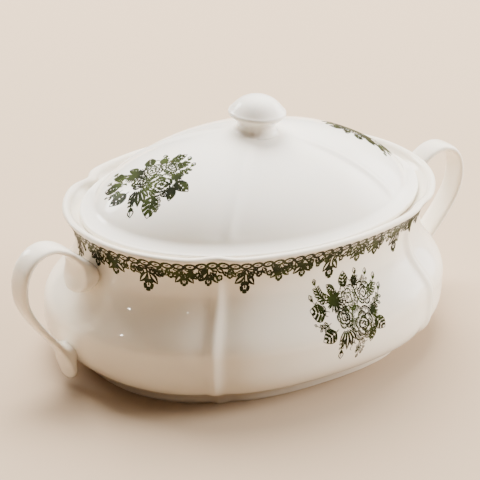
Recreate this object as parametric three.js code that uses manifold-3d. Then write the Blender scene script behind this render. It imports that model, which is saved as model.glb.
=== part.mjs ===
// Oval soup tureen with a lift-off lid. Millimetres, +Z up.
// X runs along the long axis, from handle to handle, and -Y is the front.
// The origin is the centre of the foot, on the surface that the tureen stands on.
//
// Every wall is a loft of level outlines. An outline is an oval drawn in from or out from the
// lip, with four ribs where the lobes of the body meet. A profile point (inset, z) says how far
// inside the lip's oval the wall runs at a height z; a negative inset is outside the lip.
import * as THREE from 'three';
import { mergeVertices } from 'three/addons/utils/BufferGeometryUtils.js';
import Module from 'manifold-3d';

const wasm = await Module();
wasm.setup();

// ---- Driving dimensions ----

const LIP_HALF_LENGTH = 141;
const LIP_HALF_WIDTH = 99.5;
const RIM_HEIGHT = 110;
const WALL = 5.5;
const CLEARANCE = 0.3;

const FOOT_HEIGHT = 8;
const FOOT_INSET = 14;
const FOOT_WIDTH = 7;
const FOOT_EXTRA_HALF_WIDTH = 7;
const BELLY_HEIGHT = 40;
const BELLY_INSET = -11;
const NECK_HEIGHT = 85;
const NECK_INSET = 9;
const FLOOR_HEIGHT = 14.5;

const LIP_THICKNESS = 5;
const LEDGE_HEIGHT = 102.3;
const LEDGE_WIDTH = 6;

const LID_HALF_LENGTH = 130;
const LID_HALF_WIDTH = 91;
const LID_PLAY = 1;
const LID_THICKNESS = 4.8;
const BRIM_WIDTH = 0.1;
const BRIM_RISE = 3.8;
const DOME_SPREAD = 0.92;
const DOME_RISE = 44;
// Where the inside of the dome starts, as a fraction of the way from the lid's centre to its
// edge, and how much further in it runs than the outside.
const DOME_MOUTH = 0.87;
const DOME_SHIFT = 0.045;

const RING_GAP = 2.5;
const RING_WIDTH = 4;
const RING_DEPTH = 9;

const KNOB_RADIUS = 20.5;
const KNOB_HEIGHT = 23.2;
const KNOB_FOOT = 16;
const KNOB_WAIST = 13.2;
const KNOB_WAIST_HEIGHT = 3.2;
const KNOB_RIM = { low: 9.6, high: 13.6, overhang: 1.2 };

const HANDLE_REACH = 191;
const HANDLE_TOP = 105.4;
const HANDLE_WIDTH = 18;
const HANDLE_THICKNESS = 5.2;

// Where the strap swells, as a fraction of its length from its upper end: by how much to each
// side, and over what share of the length. The joints are clay between the strap and the wall.
const TONGUE = { at: 0.055, extra: 5.5, spread: 0.08 };
const TAIL = { at: 0.95, extra: 2.5, spread: 0.06 };
const UPPER_JOINT = { at: 0.07, extra: 11, spread: 0.05 };
const LOWER_JOINT = { at: 0.89, extra: 5, spread: 0.035 };

// The oval is squarer at the foot than at the lip, and a plain ellipse at the lid.
const FOOT_ROUNDNESS = 2.4;
const LIP_ROUNDNESS = 2.1;
const LID_ROUNDNESS = 1.98;

// Four ribs, one in each quarter, this far from the long axis as seen from above.
const RIB_ANGLE = THREE.MathUtils.degToRad(40.4);
const RIB_RADIUS = 118;
const RIB = { height: 2.2, width: 4.5, groove: 1.8, grooveWidth: 16 };
const NOTCH = { depth: 4.6, width: 10 };

// ---- Outlines ----

// Angles round the oval, closer together at the ribs.
function columnAngles() {
  const halfRib = THREE.MathUtils.degToRad(12);
  const spans = [
    { from: 0, to: RIB_ANGLE - halfRib, steps: 4 },
    { from: RIB_ANGLE - halfRib, to: RIB_ANGLE + halfRib, steps: 10 },
    { from: RIB_ANGLE + halfRib, to: Math.PI / 2, steps: 5 },
  ];
  const quarter = [];
  for (const { from, to, steps } of spans) {
    for (let step = 0; step < steps; step += 1) {
      quarter.push(from + ((to - from) * step) / steps);
    }
  }
  const mirrored = quarter.slice(1).map((angle) => Math.PI - angle).reverse();
  const half = [...quarter, Math.PI / 2, ...mirrored];
  return [...half, ...half.map((angle) => angle + Math.PI)];
}

const ANGLES = columnAngles();

function ovalRadius(angle, halfLength, halfWidth, roundness) {
  const along = Math.abs(Math.cos(angle) / halfLength) ** roundness;
  const across = Math.abs(Math.sin(angle) / halfWidth) ** roundness;
  return (along + across) ** (-1 / roundness);
}

function bump(distance, width) {
  return Math.exp(-((distance / width) ** 2));
}

// Distance round the wall from the nearest rib.
function ribDistance(angle) {
  const folded = Math.atan2(Math.abs(Math.sin(angle)), Math.abs(Math.cos(angle)));
  return (folded - RIB_ANGLE) * RIB_RADIUS;
}

function ribRelief(angle) {
  const distance = ribDistance(angle);
  return RIB.height * bump(distance, RIB.width) - RIB.groove * bump(distance, RIB.grooveWidth);
}

function notchRelief(angle) {
  return -NOTCH.depth * bump(ribDistance(angle), NOTCH.width);
}

function level(z, halfLength, halfWidth, roundness, relief = () => 0) {
  return ANGLES.map((angle) => {
    const radius = ovalRadius(angle, halfLength, halfWidth, roundness) + relief(angle);
    return new THREE.Vector3(radius * Math.cos(angle), radius * Math.sin(angle), z);
  });
}

// ---- Lofts ----

// Skins a list of level outlines that run up the outside and down the inside.
// Ends closed by a fan make a cup or a cap; joined ends make a hoop.
function loft(levels, { hoop = false } = {}) {
  const columns = ANGLES.length;
  const points = levels.flat();
  const index = [];
  const bands = hoop ? levels.length : levels.length - 1;
  for (let band = 0; band < bands; band += 1) {
    const lower = band * columns;
    const upper = ((band + 1) % levels.length) * columns;
    for (let column = 0; column < columns; column += 1) {
      const next = (column + 1) % columns;
      index.push(lower + column, lower + next, upper + next);
      index.push(lower + column, upper + next, upper + column);
    }
  }
  if (!hoop) {
    const last = (levels.length - 1) * columns;
    const start = points.push(new THREE.Vector3(0, 0, levels[0][0].z)) - 1;
    const end = points.push(new THREE.Vector3(0, 0, levels.at(-1)[0].z)) - 1;
    for (let column = 0; column < columns; column += 1) {
      const next = (column + 1) % columns;
      index.push(start, next, column);
      index.push(end, last + column, last + next);
    }
  }
  const geometry = new THREE.BufferGeometry().setFromPoints(points);
  geometry.setIndex(index);
  return geometry;
}

function bezier(points, count) {
  const curve = new THREE.CubicBezierCurve(...points.map(([x, y]) => new THREE.Vector2(x, y)));
  return curve.getPoints(count).map(({ x, y }) => [x, y]);
}

// ---- Bowl ----

// The ribs run up the belly and turn into a pinch at the lip.
function bowlRelief(z) {
  const pinch = THREE.MathUtils.smoothstep(z, NECK_HEIGHT, RIM_HEIGHT);
  return (angle) => (1 - pinch) * ribRelief(angle) + pinch * notchRelief(angle);
}

// The foot is squarer, and wider across, than the oval of the lip.
function bowlLevel([inset, z], relief = bowlRelief(z)) {
  const rise = THREE.MathUtils.smoothstep(z, 0, BELLY_HEIGHT);
  const halfWidth = LIP_HALF_WIDTH - inset + FOOT_EXTRA_HALF_WIDTH * (1 - rise);
  const roundness = THREE.MathUtils.lerp(FOOT_ROUNDNESS, LIP_ROUNDNESS, rise);
  return level(z, LIP_HALF_LENGTH - inset, halfWidth, roundness, relief);
}

// A level of the seat, measured in from the edge of the lid.
function seatLevel([inset, z]) {
  return level(z, LID_HALF_LENGTH - inset, LID_HALF_WIDTH - inset, LID_ROUNDNESS);
}

function outerProfile() {
  const base = FOOT_HEIGHT + CLEARANCE;
  const belly = bezier([
    [FOOT_INSET, base], [0, base + 1], [BELLY_INSET, BELLY_HEIGHT - 18], [BELLY_INSET, BELLY_HEIGHT],
  ], 5);
  const neck = bezier([
    [BELLY_INSET, BELLY_HEIGHT], [BELLY_INSET, BELLY_HEIGHT + 16],
    [NECK_INSET, NECK_HEIGHT - 22], [NECK_INSET, NECK_HEIGHT],
  ], 6);
  const flare = bezier([
    [NECK_INSET, NECK_HEIGHT], [NECK_INSET, NECK_HEIGHT + 11],
    [4, RIM_HEIGHT - 8], [0, RIM_HEIGHT - LIP_THICKNESS / 2],
  ], 4);
  return [...belly, ...neck.slice(1), ...flare.slice(1)];
}

// The rounded lip, from its outside edge over to its inside edge.
function lipProfile() {
  const edge = RIM_HEIGHT - LIP_THICKNESS / 2;
  const crest = RIM_HEIGHT + 0.8;
  return bezier([[0, edge], [0, crest], [LIP_THICKNESS, crest], [LIP_THICKNESS + 1, edge - 1]], 4);
}

// The ledge that the lid rests on, with a rounded nose below it.
function seatProfile() {
  return [[-LID_PLAY, LEDGE_HEIGHT], [LEDGE_WIDTH, LEDGE_HEIGHT], [LEDGE_WIDTH, LEDGE_HEIGHT - 4]];
}

function insideProfile() {
  const neck = NECK_INSET + WALL;
  const belly = BELLY_INSET + WALL;
  const wall = bezier([
    [neck, NECK_HEIGHT + 6], [neck, NECK_HEIGHT - 22], [belly, BELLY_HEIGHT + 16], [belly, BELLY_HEIGHT],
  ], 4);
  const floor = bezier([
    [belly, BELLY_HEIGHT], [belly, BELLY_HEIGHT - 20], [8, FLOOR_HEIGHT], [32, FLOOR_HEIGHT],
  ], 4);
  return [...wall, ...floor.slice(1)];
}

function bowlGeometry() {
  const smooth = () => 0;
  return loft([
    ...outerProfile().map((point) => bowlLevel(point)),
    ...lipProfile().slice(1).map((point) => bowlLevel(point)),
    ...seatProfile().map(seatLevel),
    ...insideProfile().map((point) => bowlLevel(point, smooth)),
  ]);
}

// The foot stands on a flat edge with a small bevel to both sides, and leans in a little.
function footGeometry() {
  const bevel = 1.2;
  const outside = FOOT_INSET + 1;
  const inside = FOOT_INSET + FOOT_WIDTH;
  const profile = [
    [inside, 0], [outside + 1, 0], [outside, bevel],
    [outside + 1, FOOT_HEIGHT], [inside + 1.5, FOOT_HEIGHT], [inside + 0.8, bevel],
  ];
  return loft(profile.map((point) => bowlLevel(point)), { hoop: true });
}

// ---- Handles ----

// The middle of the strap, in the XZ plane: a tongue on the neck, an arch, and a tail that
// lands on the belly and hangs free below it.
function handlePath() {
  const points = [
    [148.5, 69], [145, 79.5], [146, 90], [152.5, 98.2], [162.5, 104.3], [172, HANDLE_TOP],
    [181, 101.8], [188, 93.5], [HANDLE_REACH, 82], [188.5, 69], [181, 56.5],
    [171, 44.5], [161.5, 33.5], [154, 22.5], [150.3, 12], [149.5, 5],
  ];
  return new THREE.CatmullRomCurve3(points.map(([x, z]) => new THREE.Vector3(x, 0, z)));
}

function swell({ at, extra, spread }, t) {
  return extra * bump(t - at, spread);
}

// 1 along the strap, falling to a rounded end over the last part of its length.
function roundedEnds(t, length) {
  const past = Math.max(0, 1 - t / length, 1 - (1 - t) / length);
  return Math.sqrt(Math.max(1 - past ** 2, 0.06));
}

// The strap widens into a rounded tongue at its upper end, and a little at its tail.
function strapHalfWidth(t) {
  return (HANDLE_WIDTH / 2 + swell(TONGUE, t) + swell(TAIL, t)) * roundedEnds(t, 0.045);
}

// The side that meets the wall changes: the upper joint is outside the arch, the lower inside it.
function strapHalfThickness(t, insideArch) {
  const joint = insideArch ? swell(LOWER_JOINT, t) : swell(UPPER_JOINT, t);
  return (HANDLE_THICKNESS / 2) * roundedEnds(t, 0.02) + joint;
}

function handleGeometry() {
  const path = handlePath();
  const rows = 34;
  const around = 14;
  const square = (value) => Math.sign(value) * Math.abs(value) ** 0.8;
  const points = [];
  const index = [];
  for (let row = 0; row <= rows; row += 1) {
    const t = row / rows;
    const centre = path.getPointAt(t);
    const tangent = path.getTangentAt(t);
    const normal = new THREE.Vector3(tangent.z, 0, -tangent.x);
    for (let step = 0; step < around; step += 1) {
      const angle = (2 * Math.PI * step) / around;
      const halfThickness = strapHalfThickness(t, Math.cos(angle) > 0);
      const point = centre.clone().addScaledVector(normal, halfThickness * square(Math.cos(angle)));
      point.y = strapHalfWidth(t) * square(Math.sin(angle));
      points.push(point);
    }
  }
  for (let row = 0; row < rows; row += 1) {
    for (let step = 0; step < around; step += 1) {
      const a = row * around + step;
      const b = row * around + ((step + 1) % around);
      index.push(a, b, b + around, a, b + around, a + around);
    }
  }
  const first = points.push(path.getPoint(0)) - 1;
  const last = points.push(path.getPoint(1)) - 1;
  for (let step = 0; step < around; step += 1) {
    const next = (step + 1) % around;
    index.push(first, next, step, last, rows * around + step, rows * around + next);
  }
  const geometry = new THREE.BufferGeometry().setFromPoints(points);
  geometry.setIndex(index);
  return geometry;
}

// ---- Booleans ----

function toSolid(geometry) {
  const plain = geometry.clone();
  plain.deleteAttribute('normal');
  plain.deleteAttribute('uv');
  const merged = mergeVertices(plain);
  return new wasm.Manifold(new wasm.Mesh({
    numProp: 3,
    vertProperties: new Float32Array(merged.attributes.position.array),
    triVerts: new Uint32Array(merged.index.array),
  }));
}

function toGeometry(solid) {
  const mesh = solid.getMesh();
  const geometry = new THREE.BufferGeometry();
  geometry.setAttribute('position', new THREE.BufferAttribute(new Float32Array(mesh.vertProperties), 3));
  geometry.setIndex(Array.from(mesh.triVerts));
  return geometry;
}

// The outside of the bowl grown by the clearance, filled in: what a handle is cut back by.
function bowlBlank() {
  const grown = outerProfile().map(([inset, z]) => [inset - CLEARANCE, z]);
  const levels = grown.map((point) => bowlLevel(point));
  return toSolid(loft(levels));
}

function fittedHandle(turn) {
  const handle = toSolid(handleGeometry().rotateZ(turn));
  return toGeometry(handle.subtract(bowlBlank()));
}

// ---- Lid ----

const LID_SEAT = LEDGE_HEIGHT + CLEARANCE;
const LID_BRIM_TOP = LID_SEAT + LID_THICKNESS;
const LID_TOP = LID_BRIM_TOP + BRIM_RISE + DOME_RISE;

// Height above the lid's edge at a fraction of the way from the lid's centre to that edge:
// a brim that slopes up a little, and a dome that springs steeply from it.
function domeRise(fraction) {
  const brim = THREE.MathUtils.smoothstep(1 - fraction, 0, BRIM_WIDTH);
  const dome = Math.max(1 - (fraction / DOME_SPREAD) ** 1.85, 0) ** 0.72;
  return BRIM_RISE * brim + DOME_RISE * dome;
}

function lidLevel(fraction, z, relief = () => 0) {
  return level(z, LID_HALF_LENGTH * fraction, LID_HALF_WIDTH * fraction, LID_ROUNDNESS, relief);
}

// The ribs of the body go on over the dome, but not over the brim.
function topLevel(fraction) {
  const relief = (angle) => (fraction < DOME_SPREAD ? fraction * ribRelief(angle) : 0);
  return lidLevel(fraction, LID_BRIM_TOP + domeRise(fraction), relief);
}

// Fractions from an edge of the dome in to its crown, closer together where it is steep.
function domeFractions(edge, steps) {
  const crown = 0.12;
  return Array.from({ length: steps + 1 }, (_, step) => edge - (edge - crown) * (step / steps) ** 1.7);
}

function lidGeometry() {
  const seat = 1 - LEDGE_WIDTH / LID_HALF_WIDTH;
  const corner = 0.985;
  const inside = domeFractions(DOME_MOUTH, 6).reverse();
  const brim = [corner, 0.95, 0.93];
  const dome = domeFractions(DOME_SPREAD, 10);
  return loft([
    ...inside.map((fraction) => lidLevel(fraction, LID_SEAT + domeRise(fraction + DOME_SHIFT))),
    lidLevel(seat, LID_SEAT),
    lidLevel(corner, LID_SEAT),
    lidLevel(1, LID_SEAT + LID_THICKNESS * 0.3),
    lidLevel(1, LID_SEAT + LID_THICKNESS * 0.7),
    ...brim.map(topLevel),
    ...dome.map(topLevel),
  ]);
}

// An oval flange under the lid, just inside the ledge, stops the lid from sliding off.
function locatingRingGeometry() {
  const outerInset = LEDGE_WIDTH + RING_GAP;
  const top = LID_SEAT - CLEARANCE;
  const profile = [
    [outerInset + RING_WIDTH - 1, top - RING_DEPTH], [outerInset + 1, top - RING_DEPTH],
    [outerInset, top - RING_DEPTH + 1], [outerInset, top],
    [outerInset + RING_WIDTH, top], [outerInset + RING_WIDTH, top - RING_DEPTH + 1],
  ];
  return loft(profile.map(seatLevel), { hoop: true });
}

// A mushroom knob: a waisted stem that flares up into a cap with a rounded edge.
function knobGeometry() {
  const { low, high, overhang } = KNOB_RIM;
  const edge = KNOB_RADIUS - overhang;
  const widest = KNOB_RADIUS + 0.4;
  const waist = [KNOB_WAIST, KNOB_WAIST_HEIGHT];
  const stem = bezier([[KNOB_FOOT, 0], [KNOB_WAIST + 0.6, 0.5], [KNOB_WAIST, 1.6], waist], 4);
  const flare = bezier([waist, [KNOB_WAIST + 0.6, 6], [17, low - 1.8], [edge, low]], 4);
  const rim = bezier([[edge, low], [widest, low + 0.8], [widest, high - 1], [edge, high]], 4);
  const cap = bezier([[edge, high], [15.5, high + 3.6], [12, KNOB_HEIGHT], [0, KNOB_HEIGHT]], 6);
  const outline = [[0, 0], ...stem, ...flare.slice(1), ...rim.slice(1), ...cap.slice(1)];
  const geometry = new THREE.LatheGeometry(outline.map(([x, y]) => new THREE.Vector2(x, y)), 32);
  return geometry.rotateX(Math.PI / 2);
}

// ---- Assembly ----

const glaze = { roughness: 0.12, metalness: 0 };

function mesh(name, geometry, color) {
  const piece = new THREE.Mesh(geometry, new THREE.MeshStandardMaterial({ color, ...glaze }));
  piece.name = name;
  geometry.computeVertexNormals();
  return piece;
}

const bowl = new THREE.Group();
bowl.add(
  mesh('bowl', bowlGeometry(), 0xf3ede0),
  mesh('foot_ring', footGeometry(), 0xe9e2d4),
  mesh('right_handle', fittedHandle(0), 0xf3ede0),
  mesh('left_handle', fittedHandle(Math.PI), 0xf3ede0),
);

const knob = mesh('lid_knob', knobGeometry(), 0xf5f0e6);
knob.position.z = LID_TOP + CLEARANCE;

const lid = new THREE.Group();
lid.add(
  mesh('lid', lidGeometry(), 0xf5f0e6),
  mesh('lid_locating_ring', locatingRingGeometry(), 0xf0e9dc),
  knob,
);

const group = new THREE.Group();
group.add(bowl, lid);

export default group;
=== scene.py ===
import math
import random

import bpy
import numpy as np
from mathutils import Matrix, Vector


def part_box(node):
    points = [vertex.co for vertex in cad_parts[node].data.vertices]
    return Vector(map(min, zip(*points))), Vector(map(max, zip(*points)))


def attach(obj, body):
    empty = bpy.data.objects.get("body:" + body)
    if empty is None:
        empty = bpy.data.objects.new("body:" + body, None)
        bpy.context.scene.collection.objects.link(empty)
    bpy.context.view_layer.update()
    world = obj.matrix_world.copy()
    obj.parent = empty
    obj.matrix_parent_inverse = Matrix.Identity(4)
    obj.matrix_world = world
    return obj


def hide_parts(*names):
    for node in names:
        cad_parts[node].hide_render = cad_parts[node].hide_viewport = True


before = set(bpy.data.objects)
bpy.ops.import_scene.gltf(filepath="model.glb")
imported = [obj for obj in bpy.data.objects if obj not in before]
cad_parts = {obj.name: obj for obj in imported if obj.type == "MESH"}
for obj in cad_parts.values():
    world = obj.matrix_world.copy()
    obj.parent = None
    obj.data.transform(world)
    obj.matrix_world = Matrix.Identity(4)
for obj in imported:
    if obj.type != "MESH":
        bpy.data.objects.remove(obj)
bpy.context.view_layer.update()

MM = 0.001

# ---------------------------------------------------------------- sizes, from the frame

bowl_low, bowl_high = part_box("bowl")
_, foot_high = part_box("foot_ring")
lid_low, lid_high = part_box("lid")
ring_low, ring_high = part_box("lid_locating_ring")
knob_low, knob_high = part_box("lid_knob")
_, handle_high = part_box("right_handle")

RIM_HEIGHT = bowl_high.z - 0.1 * MM
BELLY_BULGE = 11 * MM
LIP_HALF_LENGTH = bowl_high.x - BELLY_BULGE
LIP_HALF_WIDTH = bowl_high.y - BELLY_BULGE
BASE_HEIGHT = bowl_low.z
BELLY_HEIGHT = 40 * MM
NECK_HEIGHT = 85 * MM
NECK_INSET = 9 * MM
WALL = 5.5 * MM
LIP_THICKNESS = 5 * MM
FLOOR_HEIGHT = 14.5 * MM

FOOT_INSET = LIP_HALF_LENGTH - foot_high.x - 1 * MM
FOOT_EXTRA_HALF_WIDTH = 7 * MM
FOOT_WIDTH = 7 * MM

LID_HALF_LENGTH = lid_high.x
LID_HALF_WIDTH = lid_high.y
LID_SEAT = lid_low.z
LID_THICKNESS = 4.8 * MM
BRIM_WIDTH = 0.1
BRIM_RISE = 3.5 * MM
CREASE = 0.02
DOME_SPREAD = 0.92
DOME_RISE = 44 * MM
LEDGE_HEIGHT = LID_SEAT - 0.3 * MM
LEDGE_WIDTH = 6 * MM

KNOB_RADIUS = knob_high.x - 0.5 * MM
KNOB_WAIST = 13.2 * MM
# Heights of the knob's rim in millimetres above its foot.
KNOB_RIM_LOW, KNOB_RIM_HIGH = 9.6, 13.6

STRAP_HALF_WIDTH = 9 * MM
STRAP_HALF_THICKNESS = 2.6 * MM
# Places along a strap where it is wider or thicker, as shares of its length.
TONGUE, UPPER_JOINT, LOWER_JOINT, TAIL = 0.055, 0.07, 0.89, 0.95

# How square the ovals are: 2 is an ellipse.
FOOT_ROUNDNESS = 2.4
LIP_ROUNDNESS = 2.1
LID_ROUNDNESS = 1.98

# The ribs of the body lean: their angle from the long axis falls from foot to lip.
RIB_ANGLE_AT_FOOT = math.radians(44)
RIB_ANGLE_AT_LIP = math.radians(40.6)
LID_RIB_ANGLE = math.radians(43)
RIB_RADIUS = 118 * MM

# ---------------------------------------------------------------- outlines


def bump(distance, width):
    return np.exp(-((distance / width) ** 2))


def smoothstep(value, low, high):
    t = np.clip((value - low) / (high - low), 0, 1)
    return t * t * (3 - 2 * t)


def oval_radius(angle, half_length, half_width, roundness):
    along = np.abs(np.cos(angle) / half_length) ** roundness
    across = np.abs(np.sin(angle) / half_width) ** roundness
    return (along + across) ** (-1 / roundness)


def folded(angle):
    """The angle from the nearer end of the long axis, 0 to a quarter turn."""
    return np.arctan2(np.abs(np.sin(angle)), np.abs(np.cos(angle)))


def bezier(points, count):
    p = np.array(points, float)
    t = np.linspace(0, 1, count + 1)[:, None]
    return (1 - t) ** 3 * p[0] + 3 * t * (1 - t) ** 2 * p[1] + 3 * t**2 * (1 - t) * p[2] + t**3 * p[3]


def chain(*curves):
    """Curves that meet end to end, as one list of points."""
    return np.concatenate([curves[0]] + [curve[1:] for curve in curves[1:]])


# ---------------------------------------------------------------- the bowl's surface


def outer_profile(detail=1.0):
    """Inset from the lip's oval, and height, up the outside of the bowl."""
    steps = lambda count: max(int(count * detail), 2)
    return chain(
        bezier([(FOOT_INSET, BASE_HEIGHT), (0, BASE_HEIGHT + 1 * MM),
                (-BELLY_BULGE, BELLY_HEIGHT - 18 * MM), (-BELLY_BULGE, BELLY_HEIGHT)], steps(28)),
        bezier([(-BELLY_BULGE, BELLY_HEIGHT), (-BELLY_BULGE, BELLY_HEIGHT + 16 * MM),
                (NECK_INSET, NECK_HEIGHT - 22 * MM), (NECK_INSET, NECK_HEIGHT)], steps(36)),
        bezier([(NECK_INSET, NECK_HEIGHT), (NECK_INSET, NECK_HEIGHT + 11 * MM),
                (4 * MM, RIM_HEIGHT - 8 * MM), (0, RIM_HEIGHT - LIP_THICKNESS / 2)], steps(20)),
    )


OUTER = outer_profile(4)


def wall_inset(z):
    return np.interp(z, OUTER[:, 1], OUTER[:, 0])


def rib_relief(angle, z):
    """How far the ribs and the grooves beside them stand out of the wall."""
    rise = np.clip(z / RIM_HEIGHT, 0, 1)
    rib_angle = RIB_ANGLE_AT_FOOT + (RIB_ANGLE_AT_LIP - RIB_ANGLE_AT_FOOT) * rise
    distance = (folded(angle) - rib_angle) * RIB_RADIUS
    rib = 2.6 * MM * bump(distance, 4.2 * MM) - 2.0 * MM * bump(distance, 14 * MM)
    # The pinch in the lip is deeper at the left ribs than at the right ones.
    notch_depth = (3.6 - 2.0 * np.cos(angle)) * MM
    pinch = 1.0 * MM * bump(distance, 26 * MM) - notch_depth * bump(distance, 10 * MM)
    to_lip = smoothstep(z, NECK_HEIGHT, RIM_HEIGHT)
    return (1 - to_lip) * rib + to_lip * pinch


def bowl_point(angle, inset, z, ribbed=True):
    rise = smoothstep(z, 0, BELLY_HEIGHT)
    half_width = LIP_HALF_WIDTH - inset + FOOT_EXTRA_HALF_WIDTH * (1 - rise)
    roundness = FOOT_ROUNDNESS + (LIP_ROUNDNESS - FOOT_ROUNDNESS) * rise
    radius = oval_radius(angle, LIP_HALF_LENGTH - inset, half_width, roundness)
    if ribbed:
        radius = radius + rib_relief(angle, z)
    return np.stack(np.broadcast_arrays(radius * np.cos(angle), radius * np.sin(angle), z), -1)


def seat_point(angle, inset, z):
    radius = oval_radius(angle, LID_HALF_LENGTH - inset, LID_HALF_WIDTH - inset, LID_ROUNDNESS)
    return np.stack(np.broadcast_arrays(radius * np.cos(angle), radius * np.sin(angle), z), -1)


# ---------------------------------------------------------------- meshes

COLUMNS = 480
ANGLES = np.arange(COLUMNS) * 2 * math.pi / COLUMNS


def link_mesh(name, vertices, faces, smooth=True):
    mesh = bpy.data.meshes.new(name)
    mesh.from_pydata([tuple(v) for v in vertices], [], faces)
    mesh.polygons.foreach_set("use_smooth", [smooth] * len(mesh.polygons))
    mesh.update()
    obj = bpy.data.objects.new(name, mesh)
    bpy.context.scene.collection.objects.link(obj)
    return obj


def loft(name, levels, hoop=False):
    """Skins level outlines. They run up the outside and down the inside, so faces look outward."""
    rows, columns = len(levels), len(levels[0])
    vertices = np.concatenate(levels)
    faces = []
    for row in range(rows if hoop else rows - 1):
        lower = row * columns
        upper = ((row + 1) % rows) * columns
        for column in range(columns):
            after = (column + 1) % columns
            faces.append((lower + column, lower + after, upper + after, upper + column))
    if not hoop:
        last = (rows - 1) * columns
        start, end = len(vertices), len(vertices) + 1
        centres = [np.mean(levels[0], axis=0), np.mean(levels[-1], axis=0)]
        vertices = np.concatenate([vertices, centres])
        for column in range(columns):
            after = (column + 1) % columns
            faces.append((start, after, column))
            faces.append((end, last + column, last + after))
    return link_mesh(name, vertices, faces)


def build_bowl():
    crest = RIM_HEIGHT + 0.8 * MM
    edge = RIM_HEIGHT - LIP_THICKNESS / 2
    lip = bezier([(0, edge), (0, crest), (LIP_THICKNESS, crest),
                  (LIP_THICKNESS + 1 * MM, edge - 1 * MM)], 16)
    neck, belly = NECK_INSET + WALL, WALL - BELLY_BULGE
    wall = chain(
        bezier([(neck, NECK_HEIGHT + 6 * MM), (neck, NECK_HEIGHT - 22 * MM),
                (belly, BELLY_HEIGHT + 16 * MM), (belly, BELLY_HEIGHT)], 24),
        bezier([(belly, BELLY_HEIGHT), (belly, BELLY_HEIGHT - 20 * MM),
                (8 * MM, FLOOR_HEIGHT), (32 * MM, FLOOR_HEIGHT)], 20),
        bezier([(32 * MM, FLOOR_HEIGHT), (50 * MM, FLOOR_HEIGHT), (70 * MM, FLOOR_HEIGHT),
                (88 * MM, FLOOR_HEIGHT)], 4),
    )
    base = [(LIP_HALF_WIDTH * share, BASE_HEIGHT) for share in (0.85, 0.6, 0.35)]
    nose = LEDGE_HEIGHT - 2 * MM
    levels = [bowl_point(ANGLES, inset, z) for inset, z in base]
    levels += [bowl_point(ANGLES, inset, z) for inset, z in outer_profile()]
    levels += [bowl_point(ANGLES, inset, z) for inset, z in lip[1:]]
    shelf = levels[-1]
    ledge_edge = seat_point(ANGLES, -1.2 * MM, LEDGE_HEIGHT)
    levels += [shelf + (ledge_edge - shelf) * share for share in (0.3, 0.6, 0.85)]
    nose_inset = LEDGE_WIDTH - 0.8 * MM
    for inset in (-0.9 * MM, 0, 3 * MM, nose_inset):
        levels.append(seat_point(ANGLES, inset, LEDGE_HEIGHT))
    for turn in np.linspace(0.15, 0.95, 6) * math.pi:
        inset = nose_inset + 0.8 * MM * math.sin(turn)
        levels.append(seat_point(ANGLES, inset, nose + 2 * MM * math.cos(turn)))
    levels += [bowl_point(ANGLES, inset, z, ribbed=False) for inset, z in wall]
    return loft("bowl_body", levels)


def build_foot():
    inset, inside = FOOT_INSET, FOOT_INSET + FOOT_WIDTH
    profile = chain(
        bezier([(inside, 0), (inside - 1 * MM, 0), (inset + 2 * MM, 0), (inset + 2 * MM, 0)], 3),
        bezier([(inset + 2 * MM, 0), (inset + 1 * MM, 0), (inset + 1 * MM, 0.4 * MM),
                (inset + 1.1 * MM, 1.6 * MM)], 6),
        bezier([(inset + 1.1 * MM, 1.6 * MM), (inset + 1.6 * MM, 4 * MM), (inset + 2 * MM, 6 * MM),
                (inset + 0.4 * MM, BASE_HEIGHT + 1 * MM)], 10),
    )
    inner = bezier([(inside + 2 * MM, BASE_HEIGHT + 1 * MM), (inside + 2 * MM, 4 * MM),
                    (inside + 1 * MM, 0), (inside, 0)], 10)
    levels = [bowl_point(ANGLES, a, z) for a, z in chain(profile, inner)[:-1]]
    return loft("foot_ring_body", levels, hoop=True)


def lid_relief(angle, fraction):
    distance = (folded(angle) - LID_RIB_ANGLE) * RIB_RADIUS * fraction
    relief = 1.5 * MM * bump(distance, 4.5 * MM) - 1.1 * MM * bump(distance, 15 * MM)
    fade_in = smoothstep(fraction, 0.15, 0.5)
    fade_out = 1 - smoothstep(fraction, 0.88, DOME_SPREAD + 0.01)
    return relief * fade_in * fade_out


def lid_rise(fraction):
    """Height of the lid's top above its edge. The dome runs out into the brim in a soft crease."""
    def dome(f):
        within = 1 - (f / DOME_SPREAD) ** 1.85
        return ((within + np.hypot(within, CREASE)) / 2) ** 0.72

    return BRIM_RISE * smoothstep(1 - fraction, 0, BRIM_WIDTH) + DOME_RISE * (dome(fraction) - dome(1.0))


def lid_point(angle, fraction, z, ribbed=True):
    radius = fraction * oval_radius(angle, LID_HALF_LENGTH, LID_HALF_WIDTH, LID_ROUNDNESS)
    point = np.stack(np.broadcast_arrays(radius * np.cos(angle), radius * np.sin(angle), z), -1)
    if ribbed:
        point = point + lid_relief(angle, fraction)[..., None] * np.array([0, 0, 1.0])
    return point


def lid_top_height(fraction):
    return LID_SEAT + LID_THICKNESS + lid_rise(fraction)


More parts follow.
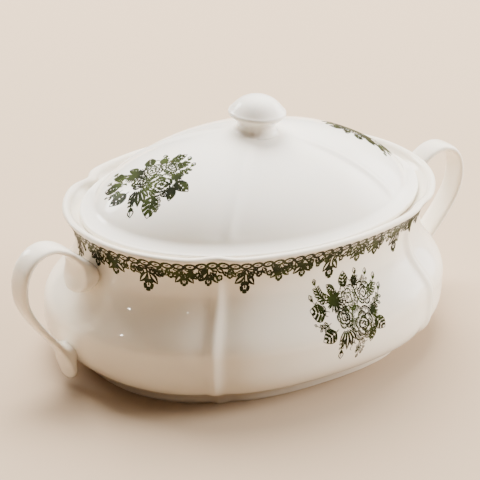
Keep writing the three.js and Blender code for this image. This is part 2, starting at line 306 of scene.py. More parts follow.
def build_lid():
    inside = np.linspace(0.1, 0.87, 30)
    levels = [lid_point(ANGLES, f, LID_SEAT + lid_rise(f + 0.045), ribbed=False) for f in inside]
    levels += [lid_point(ANGLES, f, LID_SEAT, ribbed=False) for f in (0.93, 0.955, 0.97)]
    corner, edge = 1.3 * MM, 1 - 1.3 * MM / LID_HALF_WIDTH
    for low, turns in ((True, np.linspace(-0.5, 0, 7)), (False, np.linspace(0, 0.5, 7))):
        middle = LID_SEAT + (corner if low else LID_THICKNESS - corner)
        for turn in turns * math.pi:
            f = edge + (1 - edge) * math.cos(turn)
            levels.append(lid_point(ANGLES, f, middle + corner * math.sin(turn), ribbed=False))
    outside = np.concatenate([
        np.linspace(0.975, DOME_SPREAD, 8), DOME_SPREAD - 0.07 * np.linspace(0.05, 1, 24) ** 2,
        np.linspace(0.84, 0.06, 62),
    ])
    levels += [lid_point(ANGLES, f, lid_top_height(f)) for f in outside]
    return loft("lid_body", levels)


def build_locating_ring():
    outer = LID_HALF_LENGTH - ring_high.x
    top, low = ring_high.z + 1 * MM, ring_low.z
    profile = chain(
        bezier([(outer + 4 * MM, low + 1.5 * MM), (outer + 3.6 * MM, low), (outer + 0.4 * MM, low),
                (outer, low + 1.5 * MM)], 10),
        bezier([(outer, low + 1.5 * MM), (outer, low + 3 * MM), (outer, top - 3 * MM), (outer, top)], 4),
    )
    inner = bezier([(outer + 5.5 * MM, top), (outer + 4 * MM, top - 3 * MM),
                    (outer + 4 * MM, low + 4 * MM), (outer + 4 * MM, low + 1.5 * MM)], 6)
    levels = [seat_point(ANGLES, a, z) for a, z in np.concatenate([profile, inner[:-1]])]
    return loft("lid_locating_ring_body", levels, hoop=True)


def build_knob():
    top = knob_high.z
    edge, widest = KNOB_RADIUS - 1.2 * MM, KNOB_RADIUS + 0.4 * MM
    at = lambda r, z: (r, knob_low.z + z * MM)
    waist, under, over = at(KNOB_WAIST, 3.2), at(edge, KNOB_RIM_LOW), at(edge, KNOB_RIM_HIGH)
    stem = bezier([at(16.5 * MM, -2.2), at(14 * MM, -1.4), at(13 * MM, 0.2), waist], 14)
    flare = bezier([waist, at(13.6 * MM, 6), at(17 * MM, 7.8), under], 12)
    rim = bezier([under, at(widest, KNOB_RIM_LOW + 0.8), at(widest, KNOB_RIM_HIGH - 1), over], 12)
    cap = bezier([over, at(15.5 * MM, 17.2), (12 * MM, top), (0.4 * MM, top)], 24)
    angles = ANGLES[::5]
    levels = []
    for r, z in chain(stem, flare, rim, cap):
        levels.append(np.stack([r * np.cos(angles), r * np.sin(angles), np.full(len(angles), z)], -1))
    return loft("lid_knob_body", levels)


# ---------------------------------------------------------------- handles


def catmull_rom(points, count):
    """A smooth curve through the points, with even steps in length."""
    p = np.array(points, float)
    p = np.concatenate([[2 * p[0] - p[1]], p, [2 * p[-1] - p[-2]]])
    before, start, end, after = p[:-3, None], p[1:-2, None], p[2:-1, None], p[3:, None]
    t = np.linspace(0, 1, 25)[:-1, None]
    slope = (end - before) * t
    bend = (2 * before - 5 * start + 4 * end - after) * t**2
    twist = (3 * start - before - 3 * end + after) * t**3
    curve = (start + 0.5 * (slope + bend + twist)).reshape(-1, p.shape[1])
    curve = np.concatenate([curve, p[-2:-1]])
    lengths = np.concatenate([[0], np.cumsum(np.linalg.norm(np.diff(curve, axis=0), axis=1))])
    steps = np.linspace(0, lengths[-1], count)
    return np.stack([np.interp(steps, lengths, curve[:, k]) for k in range(p.shape[1])], -1)


def handle_path(count):
    """The middle of the strap in the XZ plane: tongue, arch and tail."""
    reach, top = handle_high.x - 4.2 * MM, handle_high.z - STRAP_HALF_THICKNESS
    points = [
        (148.5, 69), (145, 79.5), (146, 90), (152.5, 98.2), (162.5, 104.3), (172, top / MM),
        (181, 101.8), (187.2, 93.5), (reach / MM, 82), (187.3, 69), (180.4, 56.5),
        (171, 44.5), (161.5, 33.5), (154, 22.5), (150.3, 12), (149.5, 5),
    ]
    return catmull_rom(points, count) * MM


def strap_section(t, path_length):
    """Half width and half thickness along the strap, both rounded off at its ends."""
    def rounded_ends(reach):
        past = np.clip(1 - np.minimum(t, 1 - t) * path_length / reach, 0, 1)
        return np.sqrt(np.maximum(1 - past**2, 0.0004))

    width = STRAP_HALF_WIDTH + 5 * MM * bump(t - TONGUE, 0.08) + 2.5 * MM * bump(t - TAIL, 0.06)
    return width * rounded_ends(11 * MM), STRAP_HALF_THICKNESS * rounded_ends(3 * MM)


def wall_distance(points):
    """Distance of points near the end of the bowl from its outer wall, positive outside."""
    angle = np.arctan2(points[:, 1], np.abs(points[:, 0]))
    z = np.clip(points[:, 2], BASE_HEIGHT, RIM_HEIGHT - LIP_THICKNESS)
    step = 0.5 * MM
    on_wall = bowl_point(angle, wall_inset(z), z)
    above = bowl_point(angle, wall_inset(z + step), z + step)
    out = np.hypot(points[:, 0], points[:, 1]) - np.hypot(on_wall[:, 0], on_wall[:, 1])
    slope = (np.hypot(above[:, 0], above[:, 1]) - np.hypot(on_wall[:, 0], on_wall[:, 1])) / step
    return out / np.sqrt(1 + slope**2)


def build_handle(name, side):
    rows, around = 260, 48
    path = handle_path(rows)
    length = np.linalg.norm(np.diff(path, axis=0), axis=1).sum()
    tangent = np.gradient(path, axis=0)
    tangent /= np.linalg.norm(tangent, axis=1)[:, None]
    t = np.linspace(0, 1, rows)
    half_width, half_thickness = strap_section(t, length)
    turns = np.arange(around) * 2 * math.pi / around
    round_out = lambda v: np.sign(v) * np.abs(v) ** 0.75
    across, through = round_out(np.sin(turns)), round_out(np.cos(turns))
    # Clay behind the tongue and the tail joins the strap to the wall.
    upper = 11 * MM * bump(t - UPPER_JOINT, 0.05)
    lower = 5 * MM * bump(t - LOWER_JOINT, 0.035)
    levels = []
    for i in range(rows):
        extra = np.where(through > 0, lower[i], upper[i])
        depth = (half_thickness[i] + extra) * through
        x = path[i, 0] + tangent[i, 1] * depth
        z = path[i, 1] - tangent[i, 0] * depth
        levels.append(np.stack([side * x, half_width[i] * across * np.ones(around), z], -1))
    obj = loft(name, levels if side > 0 else levels[::-1])
    flare_to_wall(obj)
    return obj


def flare_to_wall(obj):
    """Turns the corner where the strap's joint meets the wall into a fillet."""
    mesh = obj.data
    count = len(mesh.vertices)
    points = np.zeros(count * 3)
    normals = np.zeros(count * 3)
    mesh.vertices.foreach_get("co", points)
    mesh.vertex_normals.foreach_get("vector", normals)
    points, normals = points.reshape(-1, 3), normals.reshape(-1, 3)
    distance = wall_distance(points)
    fillet = np.where(points[:, 2] > 60 * MM, 5 * MM, 3 * MM)
    outward = np.sign(points[:, :1]) * np.array([1.0, 0, 0])
    sideways = normals - (normals * outward).sum(1)[:, None] * outward
    short_of_fillet = fillet - np.clip(distance, 0, fillet)
    grow = fillet - np.sqrt(fillet**2 - short_of_fillet**2)
    points += sideways * grow[:, None]
    mesh.vertices.foreach_set("co", points.ravel())
    mesh.update()


# ---------------------------------------------------------------- materials


def material(name):
    mat = bpy.data.materials.new(name)
    mat.use_nodes = True
    nodes = mat.node_tree.nodes
    return mat, nodes, mat.node_tree.links, nodes["Principled BSDF"]


def set_inputs(node, **inputs):
    for key, value in inputs.items():
        node.inputs[key.replace("_", " ")].default_value = value


def add_node(nodes, kind, **inputs):
    node = nodes.new(kind)
    set_inputs(node, **inputs)
    return node


def colour_ramp(nodes, links, factor, *stops):
    """A blend of colours along a factor. A stop is a position and a colour; the ends come first."""
    ramp = nodes.new("ShaderNodeValToRGB")
    elements = ramp.color_ramp.elements
    for element, (position, colour) in zip(elements, stops):
        element.position = position
        element.color = (*colour, 1)
    for position, colour in stops[2:]:
        elements.new(position).color = (*colour, 1)
    links.new(factor, ramp.inputs["Fac"])
    return ramp


def glaze(name, body_colour, pooled_colour):
    """A clear glossy glaze over cream clay: faint mottling, and a gentle waviness in the gloss."""
    mat, nodes, links, shader = material(name)
    place = nodes.new("ShaderNodeTexCoord")
    mottle = add_node(nodes, "ShaderNodeTexNoise", Scale=14.0, Detail=4.0, Roughness=0.55)
    links.new(place.outputs["Object"], mottle.inputs["Vector"])
    tint = colour_ramp(nodes, links, mottle.outputs["Fac"], (0.35, pooled_colour), (0.7, body_colour))
    links.new(tint.outputs["Color"], shader.inputs["Base Color"])
    wave = add_node(nodes, "ShaderNodeTexNoise", Scale=26.0, Detail=2.0, Roughness=0.4)
    links.new(place.outputs["Object"], wave.inputs["Vector"])
    ripple = add_node(nodes, "ShaderNodeBump", Strength=0.10, Distance=0.0006)
    links.new(wave.outputs["Fac"], ripple.inputs["Height"])
    links.new(ripple.outputs["Normal"], shader.inputs["Coat Normal"])
    set_inputs(shader, Roughness=0.45, Specular_IOR_Level=0.3)
    set_inputs(shader, Subsurface_Weight=0.12, Subsurface_Radius=(0.006, 0.004, 0.0025))
    set_inputs(shader, Coat_Weight=1.0, Coat_Roughness=0.06, Coat_IOR=1.52)
    return mat


def bare_foot(name):
    """The foot: glazed on its sides, with the unglazed clay of the standing edge showing. Its colours
    are painted much darker than the body's, as painted shade under the overhang of the belly.
    """
    mat = glaze(name, (0.62, 0.54, 0.43), (0.55, 0.47, 0.37))
    nodes, links = mat.node_tree.nodes, mat.node_tree.links
    shader = nodes["Principled BSDF"]
    place = nodes.new("ShaderNodeTexCoord")
    split = nodes.new("ShaderNodeSeparateXYZ")
    links.new(place.outputs["Object"], split.inputs["Vector"])
    bare = add_node(nodes, "ShaderNodeMapRange", From_Min=0.8 * MM, From_Max=1.6 * MM, To_Min=0.0)
    links.new(split.outputs["Z"], bare.inputs["Value"])
    links.new(bare.outputs["Result"], shader.inputs["Coat Weight"])
    return mat


def ink_material(name):
    """Green-black printed ink under the glaze, thinner in some places than in others."""
    mat, nodes, links, shader = material(name)
    place = nodes.new("ShaderNodeTexCoord")
    patches = add_node(nodes, "ShaderNodeTexNoise", Scale=75.0, Detail=3.0, Roughness=0.6)
    links.new(place.outputs["Object"], patches.inputs["Vector"])
    thick, thin = (0.38, (0.006, 0.008, 0.001)), (0.68, (0.034, 0.046, 0.009))
    tint = colour_ramp(nodes, links, patches.outputs["Fac"], thick, thin)
    links.new(tint.outputs["Color"], shader.inputs["Base Color"])
    set_inputs(shader, Roughness=0.5, Specular_IOR_Level=0.1, Coat_Weight=0.05, Coat_Roughness=0.08)
    return mat


# ---------------------------------------------------------------- assembly

# The body and the lid wear one glaze. The body's colours are painted darker and warmer than the lid's,
# as painted shade on the body's sides.
body_glaze = glaze("body_glaze", (0.86, 0.79, 0.67), (0.83, 0.755, 0.63))
lid_glaze = glaze("lid_glaze", (0.90, 0.86, 0.78), (0.875, 0.825, 0.735))
foot_glaze = bare_foot("foot_glaze")
ink = ink_material("ink")


def place_piece(obj, mat, body, slot, *nodes):
    obj.data.materials.append(mat)
    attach(obj, body)
    if nodes:
        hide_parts(*nodes)


place_piece(build_bowl(), body_glaze, "bowl", "body_glaze", "bowl")
place_piece(build_foot(), foot_glaze, "bowl", "foot_glaze", "foot_ring")
place_piece(build_handle("right_handle_body", 1), body_glaze, "bowl", "body_glaze", "right_handle")
place_piece(build_handle("left_handle_body", -1), body_glaze, "bowl", "body_glaze", "left_handle")
place_piece(build_lid(), lid_glaze, "lid", "lid_glaze", "lid")
place_piece(build_locating_ring(), lid_glaze, "lid", "lid_glaze", "lid_locating_ring")
place_piece(build_knob(), lid_glaze, "lid", "lid_glaze", "lid_knob")

# ---------------------------------------------------------------- drawing with ink
#
# A drawing is a list of pen strokes in millimetres, x to the right and y up. A stroke is a line of
# points and the half width of the ink at each of them. ink_on lays a drawing on a glazed surface.


def pen(points, width, ends=0.3, spacing=1.6):
    """One stroke along a smooth line through the points, widest in its middle."""
    p = np.array(points, float)
    length = np.linalg.norm(np.diff(p, axis=0), axis=1).sum()
    t = np.linspace(0, 1, max(len(p), 3, int(length / spacing) + 2))
    path = catmull_rom(p, len(t)) if len(p) > 2 else p[0] + (p[1] - p[0]) * t[:, None]
    return path, width / 2 * (ends + (1 - ends) * np.sin(math.pi * t))


def placed(strokes, x, y, turn=0.0, scale=1.0):
    """The strokes scaled, turned by an angle in degrees and moved."""
    c, s = math.cos(math.radians(turn)) * scale, math.sin(math.radians(turn)) * scale
    spin = np.array([[c, s], [-s, c]])
    return [(points @ spin + [x, y], half * scale) for points, half in strokes]


def ring(radius, width, count=9):
    a = np.linspace(0, 2 * math.pi, count)
    return np.stack([radius * np.cos(a), radius * np.sin(a)], -1), np.full(count, width / 2)


def leaf(length, width, bend=0.15, bands=6):
    """A leaf that points up: dark bands between light veins, a light midrib and a fine edge."""
    rib = lambda t: np.array([bend * length * t * t, length * t])
    reach = lambda t: width / 2 * math.sin(math.pi * t**0.8) ** 0.9
    strokes = [pen([rib(-0.25), rib(0), rib(0.12)], 0.7)]
    for side in (-1, 1):
        edge = [rib(t) + [side * reach(t), 0] for t in np.linspace(0.02, 0.999, 8)]
        strokes.append(pen(edge, 0.7, 0.6))
        for band in range(bands):
            start = 0.04 + 0.8 * band / bands
            end = min(start + 0.2, 0.97)
            inner, outer = rib(start) + [side * 0.16, 0], rib(end) + [side * reach(end) * 0.95, 0]
            strokes.append(pen([inner, outer], length / bands * 0.64, 0.85))
    return strokes


def small_leaf(length, spread=0.22, ink_width=0.27):
    """Two dark halves with a light slit between. Spread and ink width are shares of the length."""
    tip = (0.03 * length, length)
    middles = [(side * spread * length, 0.5 * length) for side in (-1, 1)]
    return [pen([(0, 0), middle, tip], ink_width * length, 0.12) for middle in middles]


def bud(length):
    """A closed flower: an outlined drop with a dark cup below it."""
    strokes = [pen([(0.05 * length, 0.35 * length), (0.08 * length, 0.8 * length)], 0.45, 0.6)]
    for side in (-1, 1):
        outline = [(0, 0.2 * length), (side * 0.3 * length, 0.55 * length), (0, length)]
        strokes.append(pen(outline, 0.6, 0.6))
    for side in (-1, 0, 1):
        strokes.append(pen([(0, 0), (side * 0.2 * length, 0.42 * length)], 0.2 * length, 0.5))
    return strokes


def heading(step):
    """The turn that points a drawing's y axis along a step, in degrees."""
    return math.degrees(math.atan2(step[1], step[0])) - 90


def berry(size):
    return [ring(0.26 * size, 0.5, 7), ring(0.07 * size, 0.3, 5)]


def sprig(points, leaf_length, pairs, tip=True, berries=False):
    """A stem with pairs of small leaves, or of berries, that get smaller toward its tip."""
    path = catmull_rom(points, 40)
    strokes = [pen(points, 0.65, 0.5)]
    for pair in range(pairs):
        t = 0.25 + 0.7 * pair / pairs
        here, ahead = path[int(t * 38)], path[int(t * 38) + 1]
        size = leaf_length * (1.15 - 0.45 * t)
        for side in (-1, 1):
            turn = heading(ahead - here) + side * 52
            if berries:
                way = np.array([-math.sin(math.radians(turn)), math.cos(math.radians(turn))])
                strokes.append(pen([here, here + way * size * 0.6], 0.4, 0.8))
                strokes += placed(berry(size), *(here + way * size * 0.84))
            else:
                strokes += placed(small_leaf(size), *here, turn)
    if tip:
        strokes += placed(small_leaf(leaf_length * 0.8), *path[-1], heading(path[-1] - path[-3]))
    return strokes


def petal_ring(radius, depth, petals, hatches, phase, rng):
    """Petals in a ring: curled edges, with short lines of shade running in from them."""
    strokes = []
    for petal in range(petals):
        start = 2 * math.pi * (petal + phase) / petals
        span = 2 * math.pi / petals
        size = radius * rng.uniform(0.9, 1.06)
        at = lambda t, k=1.0: np.array([
            math.cos(start + span * t), math.sin(start + span * t),
        ]) * size * k * (0.8 + 0.2 * math.sin(math.pi * t) ** 0.6)
        strokes.append(pen([at(t) for t in (0.0, 0.15, 0.4, 0.6, 0.85, 1.0)], 0.95, 0.5))
        strokes.append(pen([at(0), at(0.0, 0.72)], 0.6, 0.4))
        for hatch in range(hatches):
            t = (hatch + 0.7) / (hatches + 0.4)
            reach = 1 - depth * rng.uniform(0.5, 1.0) * (1.25 - abs(t - 0.3))
            strokes.append(pen([at(t, 0.97), at(t, reach)], 0.65, 0.4))
    return strokes


def rose(radius, hatches, rng):
    """An open rose: three rings of petals round a dark curled heart."""
    strokes = petal_ring(radius, 0.3, 6, hatches, 0.1, rng)
    strokes += petal_ring(radius * 0.7, 0.34, 5, hatches, 0.5, rng)
    strokes += petal_ring(radius * 0.42, 0.5, 4, max(hatches - 2, 2), 0.2, rng)
    t = np.linspace(0.15, 1, 5)
    curl = np.stack([t * np.cos(9 * t), t * np.sin(9 * t)], -1) * 0.2 * radius
    strokes.append(pen(curl, 0.12 * radius, 0.6))
    return strokes


def dark_bloom(radius, rng):
    """A ragged, nearly black flower head of overlapping pointed petals."""
    strokes = []
    for layer, (reach, petals) in enumerate(((1.0, 22), (0.78, 15), (0.5, 9))):
        for petal in range(petals):
            turn = math.degrees(2 * math.pi * (petal + 0.4 * layer) / petals) + rng.uniform(-5, 5)
            size = radius * reach * rng.uniform(0.88, 1.05)
            strokes += placed([pen([(0, 0), (0.05 * size, size)], 0.13 * radius, 0.7)], 0, 0, turn)
    return strokes


def curls(count, spread, rng):
    """Small loose hooks of ink that fill the gaps of a spray."""
    strokes = []
    for _ in range(count):
        distance, way = spread * math.sqrt(rng.random()), rng.uniform(0, 2 * math.pi)
        size = rng.uniform(1.2, 2.4)
        hook = [(0, 0), (0.7 * size, 0.5 * size), (size, 1.4 * size), (0.4 * size, 1.9 * size)]
        x, y = distance * math.cos(way), distance * math.sin(way)
        strokes += placed([pen(hook, rng.uniform(0.45, 0.8), 0.3)], x, y, rng.uniform(0, 360))
    return strokes


def bouquet(seed):
    """The big spray: roses and blooms in the middle, with leaves, buds and sprigs all round."""
    rng = random.Random(seed)
    strokes = []
    strokes += placed(rose(11.5, 11, rng), 10, -9, 20)
    strokes += placed(rose(8.5, 3, rng), 3, 8, 70)
    strokes += placed(rose(6.5, 6, rng), -5, -2, 140)
    strokes += placed(rose(7.0, 3, rng), 17, 8, 10)
    strokes += placed(dark_bloom(7.6, rng), -9, 9)
    strokes += placed(dark_bloom(4.5, rng), 21, -3, 30)
    strokes += placed(curls(70, 22, rng), 2, -2)
    strokes += placed(leaf(11, 7.5, 0.1, 4), 2, 15, 6)
    strokes += placed(leaf(11, 10, 0.0, 4), -20, 2, 66)
    strokes += placed(leaf(12, 10, 0.1, 4), -15, -9, 116)
    strokes += placed(leaf(12, 9, -0.1, 4), 21, -8, -144)
    strokes += placed(leaf(11, 6, 0.1, 4), 18, -13, 172)
    for turn, length in ((-148, 13), (-164, 16), (-180, 17), (164, 15), (148, 12), (-128, 10)):
        strokes += placed(placed(small_leaf(length - 3, 0.1, 0.12), 0, 4), -6, -6, turn)
    strokes += placed(leaf(8, 5, 0.1, 4), -7, 14, 52)
    strokes += placed(leaf(8, 5, -0.1, 4), 10, 14, -24)
    strokes += sprig([(-13, 8), (-19, 13), (-22, 21)], 4.8, 5)
    strokes += sprig([(-15, 3), (-22, 6), (-26, 11)], 3.6, 4)
    strokes += sprig([(9, 13), (12, 17), (13, 21)], 4.0, 3)
    strokes += sprig([(14, 11), (19, 14), (22, 18)], 3.8, 3, berries=True)
    strokes += sprig([(19, 7), (26, 9), (29, 13)], 4.2, 4)
    strokes += sprig([(20, 0), (27, 1), (31, 6)], 3.8, 3)
    strokes += sprig([(-7, -14), (-11, -19), (-11, -24)], 3.4, 3, tip=False)
    strokes += placed(bud(7.0), -11, -23, 178)
    strokes += sprig([(3, -18), (6, -24), (4, -30)], 4.4, 5, berries=True)
    strokes += sprig([(-17, -3), (-24, -5), (-28, -3)], 3.6, 3)
    for x, y, turn in ((29, 13, -16), (22, 18, -8), (31, 6, -34)):
        strokes += placed(bud(5.0), x, y, turn)
    for x, y, turn in ((-22, 21, 10), (13, 21, 12), (-26, 11, 20)):
        strokes += placed(bud(5.0), x, y, turn)
    return strokes


def lid_spray(seed):
    """The big spray turned to lie along the dome, in bolder ink and with two more leaves."""
    turned = placed(bouquet(seed), -4, 1, 51)
    strokes = [(points, half * 1.35) for points, half in turned]
    strokes += placed(leaf(16, 11, 0.08, 4), 12, -8, -133)
    strokes += placed(leaf(12, 7, -0.1, 4), -5, 24, -18)
    return strokes


def blossom(radius):
    """A small flower head: five dark petals round a light heart with a dot in it."""
    petal = [pen([(-0.42 * radius, 0.62 * radius), (0.42 * radius, 0.62 * radius)], 0.66 * radius, 0.7)]
    strokes = [ring(0.1 * radius, 0.2 * radius, 5)]
    for turn in range(0, 360, 72):
        strokes += placed(petal, 0, 0, turn)
    return strokes


def border_chain(length, loops):
    """Oval links with a dot in each, joined by dark knots, right under the lip."""
    strokes = []
    pitch, middle, half_height = length / loops, -2.9, 2.1
    turns = np.linspace(0, 2 * math.pi, 11)
    link = np.stack([0.44 * pitch * np.cos(turns), half_height * np.sin(turns)], -1)
    dot = pen([(-1.1, -0.3), (1.1, 0.3)], 1.1, 0.6)
    knots = [pen([(-2, -side * half_height), (2, side * half_height)], 1.9, 0.6) for side in (-1, 1)]
    for loop in range(loops):
        strokes += placed([(link, np.full(len(turns), 0.85)), dot], (loop + 0.5) * pitch, middle)
        strokes += placed(knots, (loop + 1) * pitch, middle)
    return strokes


def pendant(drop, rng):
    """A cluster that hangs from the border: long leaves to both sides of a stem, and a flower."""
    lean = rng.uniform(-1.0, 1.0)
    tip = 0.8 * -drop
    strokes = [pen([(0, -4), (-0.8 + lean / 2, tip / 2), (lean, tip)], 1.2, 0.6)]
    for share, turn, size in ((0.45, 135, 9.0), (0.3, 100, 6.5)):
        for side in (-1, 1):
            x, y = lean * share + side * 0.6, -drop * share
            strokes += placed(small_leaf(size, 0.17, 0.2), x, y, -side * (turn + rng.uniform(-6, 6)))
    strokes += placed(blossom(0.18 * drop), lean, tip, 36)
    return strokes


def border_repeat(length, rng):
    """One repeat of the border: links, a fringe of leaves and flowers, and hanging clusters."""
    strokes = border_chain(length, 9)
    for y, count in ((-5.2, 11), (-7.4, 9)):
        for step in range(count):
            x = length * (step + rng.uniform(0.0, 0.4)) / count
            turn = 180 + rng.choice((-1, 1)) * rng.uniform(20, 65)
            strokes += placed(small_leaf(rng.uniform(5.2, 6.6), 0.2, 0.25), x, y, turn)
    for step in range(10):
        x = length * (step + rng.uniform(0.2, 0.5)) / 10
        y = -9.0 - rng.uniform(0, 2.2)
        strokes += placed(blossom(rng.uniform(2.0, 2.7)), x, y, rng.uniform(0, 70))
        curl = [(0, 0), (1.6, -1.6), (3.0, -1.4), (3.2, 0.1), (2.2, 0.4)]
        strokes += placed([pen(curl, 1.1, 0.5, 1.2)], x + 1.6, -6.4, rng.uniform(-40, 30))
    for share, drop in ((0.5, 22), (0.13, 17), (0.87, 17)):
        strokes += placed(pendant(drop, rng), length * share, 0)
    return strokes


# ---------------------------------------------------------------- ink on the glaze

INK_LIFT = 0.07 * MM
INK_DEPTH = 0.12 * MM
BORDER_REPEATS = 11
BORDER_START = 0.22


def ink_on(name, strokes, surface, body, slot):
    """Thin closed solids on the glaze. surface gives points and normals for x and y in metres."""
    flat, quads = [], []
    for path, half in strokes:
        along = np.gradient(path, axis=0)
        along /= np.maximum(np.linalg.norm(along, axis=1), 1e-9)[:, None]
        aside = np.stack([-along[:, 1], along[:, 0]], -1) * half[:, None]
        first = sum(len(part) for part in flat)
        flat.append(np.stack([path + aside, path - aside], 1).reshape(-1, 2))
        quads.append((first, len(path)))
    flat = np.concatenate(flat) * MM
    points, normals = surface(flat[:, 0], flat[:, 1])
    count = len(flat)
    vertices = np.concatenate([points + normals * INK_LIFT, points - normals * INK_DEPTH])
    faces = []
    for first, stations in quads:
        for step in range(stations - 1):
            a = first + 2 * step
            b, c, d = a + 1, a + 3, a + 2
            faces += [(a, b, c, d), (a + count, d + count, c + count, b + count)]
            faces += [(a, d, d + count, a + count), (b, b + count, c + count, c)]
        a, z = first, first + 2 * stations - 2
        faces += [(a, a + count, a + 1 + count, a + 1), (z, z + 1, z + 1 + count, z + count)]
    obj = link_mesh(name, vertices, faces, smooth=False)
    place_piece(obj, ink, body, slot)
    return obj


def normals_of(point_at, a, b, step_a, step_b):
    """Unit normals of a surface given by two parameters, a to the right and b upward."""
    across = point_at(a + step_a, b) - point_at(a - step_a, b)
    upward = point_at(a, b + step_b) - point_at(a, b - step_b)
    normal = np.cross(across, upward)
    return normal / np.linalg.norm(normal, axis=1)[:, None]


def wall_at(angle, z):
    return bowl_point(angle, wall_inset(z), z)


def front_surface(centre_x, centre_z, side):
    """Maps a drawing on to the front of the belly, or on to the back when side is -1."""
    def surface(u, v):
        z = centre_z + v * 0.97
        low, high = np.full(len(u), -math.pi), np.zeros(len(u))
        for _ in range(30):
            middle = (low + high) / 2
            left = wall_at(middle, z)[:, 0] < centre_x + u * 0.99
            low, high = np.where(left, middle, low), np.where(left, high, middle)
        points = wall_at(low, z)
        normals = normals_of(wall_at, low, z, 1e-4, 0.05 * MM)
        spin = np.array([side, side, 1.0])
        return points * spin, normals * spin
    return surface


def lid_height(x, y):
    angle = np.arctan2(y, x)
    fraction = np.hypot(x, y) / oval_radius(angle, LID_HALF_LENGTH, LID_HALF_WIDTH, LID_ROUNDNESS)
    return lid_top_height(fraction) + lid_relief(angle, fraction)


def lid_surface(centre_x, side):
    """Maps a drawing on to the dome near one end, with its y axis running up to the knob."""
    def surface(u, v):
        x, y = side * (centre_x - v * 0.9), side * u
        point_at = lambda a, b: np.stack([a, b, lid_height(a, b)], -1)
        return point_at(x, y), normals_of(point_at, x, y, 0.05 * MM, 0.05 * MM)
    return surface


def rim_surface():
    """Maps a drawing on to the wall below the lip: x runs round the rim and y down from it."""
    turns = np.linspace(-math.pi, math.pi, 2001)
    path = wall_at(turns, np.full(len(turns), RIM_HEIGHT - 7 * MM))
    lengths = np.concatenate([[0], np.cumsum(np.linalg.norm(np.diff(path, axis=0), axis=1))])
    top = RIM_HEIGHT - 3.2 * MM

    def surface(u, v):
        angle = np.interp(u % lengths[-1], lengths, turns)
        z = top + v * 1.25
        return wall_at(angle, z), normals_of(wall_at, angle, z, 1e-4, 0.05 * MM)
    return surface, lengths[-1] / MM


def decorate():
    surface, around = rim_surface()
    pitch, rng = around / BORDER_REPEATS, random.Random(5)
    strokes = []
    for repeat in range(BORDER_REPEATS):
        strokes += placed(border_repeat(pitch, rng), pitch * (repeat + BORDER_START), 0)
    ink_on("rim_border", strokes, surface, "bowl", "body_glaze")
    for name, side, seed in (("front_spray", 1, 3), ("back_spray", -1, 4)):
        ink_on(name, bouquet(seed), front_surface(7 * MM, 57 * MM, side), "bowl", "body_glaze")
    for name, side, seed, size in (("left_lid_spray", -1, 6, 1.0), ("right_lid_spray", 1, 8, 0.85)):
        drawing = placed(lid_spray(seed), 0, 20 * (size - 1), 0, size)
        ink_on(name, drawing, lid_surface(88 * MM, side), "lid", "lid_glaze")


decorate()

# ---------------------------------------------------------------- stage


def build_stage():
    """A plain pale table top."""
    half = 6.0
    corners = [(-half, -half, 0), (half, -half, 0), (half, half, 0), (-half, half, 0)]
    obj = link_mesh("stage", corners, [(0, 1, 2, 3)])
    mat, _, _, shader = material("stage")
    set_inputs(shader, Base_Color=(0.42, 0.315, 0.215, 1), Roughness=0.9)
    obj.data.materials.append(mat)


def area_light(name, location, size, power, colour, mirrored=True):
    """A round soft light aimed at the tureen. Unmirrored, it leaves no reflection in the glaze."""
    data = bpy.data.lights.new(name, "AREA")
    data.shape = "DISK"
    data.size = size
    data.energy = power
    data.color = colour
    obj = bpy.data.objects.new(name, data)
    obj.location = location
    obj.rotation_euler = (Vector((0, 0, 0.08)) - Vector(location)).to_track_quat("-Z", "Y").to_euler()
    obj.visible_glossy = mirrored
    bpy.context.scene.collection.objects.link(obj)


def sky_direction(azimuth, elevation):
    a, e = math.radians(azimuth), math.radians(elevation)
    return Vector((math.cos(a) * math.cos(e), math.sin(a) * math.cos(e), math.sin(e)))


def soft_window(nodes, links, place, azimuth, elevation, spread, strength):
    """A bright patch of sky with soft edges, for a highlight on the glaze. Angles in degrees."""
    toward = nodes.new("ShaderNodeVectorMath")
    toward.operation = "DOT_PRODUCT"
    toward.inputs[1].default_value = sky_direction(azimuth, elevation)
    links.new(place.outputs["Generated"], toward.inputs[0])
    edge = nodes.new("ShaderNodeMapRange")
    edge.interpolation_type = "SMOOTHSTEP"
    edge.inputs["From Min"].default_value = math.cos(math.radians(spread))
    edge.inputs["From Max"].default_value = math.cos(math.radians(0.45 * spread))
    edge.inputs["To Max"].default_value = strength
    links.new(toward.outputs["Value"], edge.inputs["Value"])
    return edge.outputs["Result"]


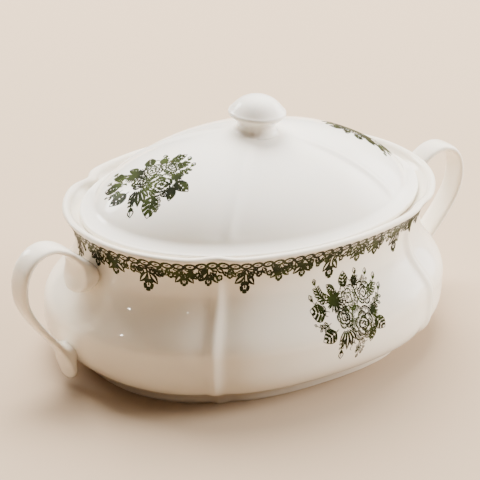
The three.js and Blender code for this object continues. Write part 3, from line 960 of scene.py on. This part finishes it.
def build_sky():
    """A soft room: brightest overhead, with a wide window to the right and a small one behind."""
    world = bpy.data.worlds.new("world")
    world.use_nodes = True
    nodes, links = world.node_tree.nodes, world.node_tree.links
    place = nodes.new("ShaderNodeTexCoord")
    glow = nodes.new("ShaderNodeVectorMath")
    glow.operation = "DOT_PRODUCT"
    glow.inputs[1].default_value = sky_direction(50, 62)
    links.new(place.outputs["Generated"], glow.inputs[0])
    low, high, middle = (0.05, 0.037, 0.026), (1.0, 0.97, 0.92), (0.14, 0.11, 0.08)
    shade = colour_ramp(nodes, links, glow.outputs["Value"], (0.0, low), (1.0, high), (0.55, middle))
    shade.color_ramp.interpolation = "EASE"
    total = shade.outputs["Color"]
    for azimuth, elevation, spread, strength in ((-2, 16, 26, 3.0), (102, 28, 12, 8.0)):
        patch = soft_window(nodes, links, place, azimuth, elevation, spread, strength)
        added = nodes.new("ShaderNodeVectorMath")
        added.operation = "ADD"
        links.new(total, added.inputs[0])
        links.new(patch, added.inputs[1])
        total = added.outputs["Vector"]
    links.new(total, nodes["Background"].inputs["Color"])
    nodes["Background"].inputs["Strength"].default_value = 1.8
    bpy.context.scene.world = world


def build_lights():
    area_light("ceiling", (0.5, 1.3, 1.9), 2.2, 290, (1.0, 0.975, 0.94), mirrored=False)
    area_light("window", (2.0, -1.0, 0.9), 1.2, 145, (1.0, 0.98, 0.96), mirrored=False)
    area_light("lamp_left", (-1.5, -0.1, 0.9), 0.06, 0.9, (1.0, 0.95, 0.88))
    area_light("lamp_front", (-0.9, -1.5, 1.0), 0.04, 0.5, (1.0, 0.93, 0.84))


def build_camera():
    """A long lens from the front left, 25 degrees above the table and leaning a little."""
    azimuth, elevation, lean = math.radians(-38.6), math.radians(25.2), math.radians(3.25)
    distance, aim_left = 1.737, 6.7 * MM
    back = Vector((math.sin(azimuth) * math.cos(elevation), -math.cos(azimuth) * math.cos(elevation),
                   math.sin(elevation)))
    right = Vector((math.cos(azimuth), math.sin(azimuth), 0))
    target = Vector((0, 0, 70 * MM))
    data = bpy.data.cameras.new("camera")
    data.sensor_width = 36
    data.lens = 186.7
    obj = bpy.data.objects.new("camera", data)
    obj.location = target + back * distance
    aim = target - right * aim_left - obj.location
    turn = aim.to_track_quat("-Z", "Y").to_matrix() @ Matrix.Rotation(lean, 3, "Z")
    obj.rotation_euler = turn.to_euler()
    bpy.context.scene.collection.objects.link(obj)
    bpy.context.scene.camera = obj


build_stage()
build_sky()
build_lights()
build_camera()
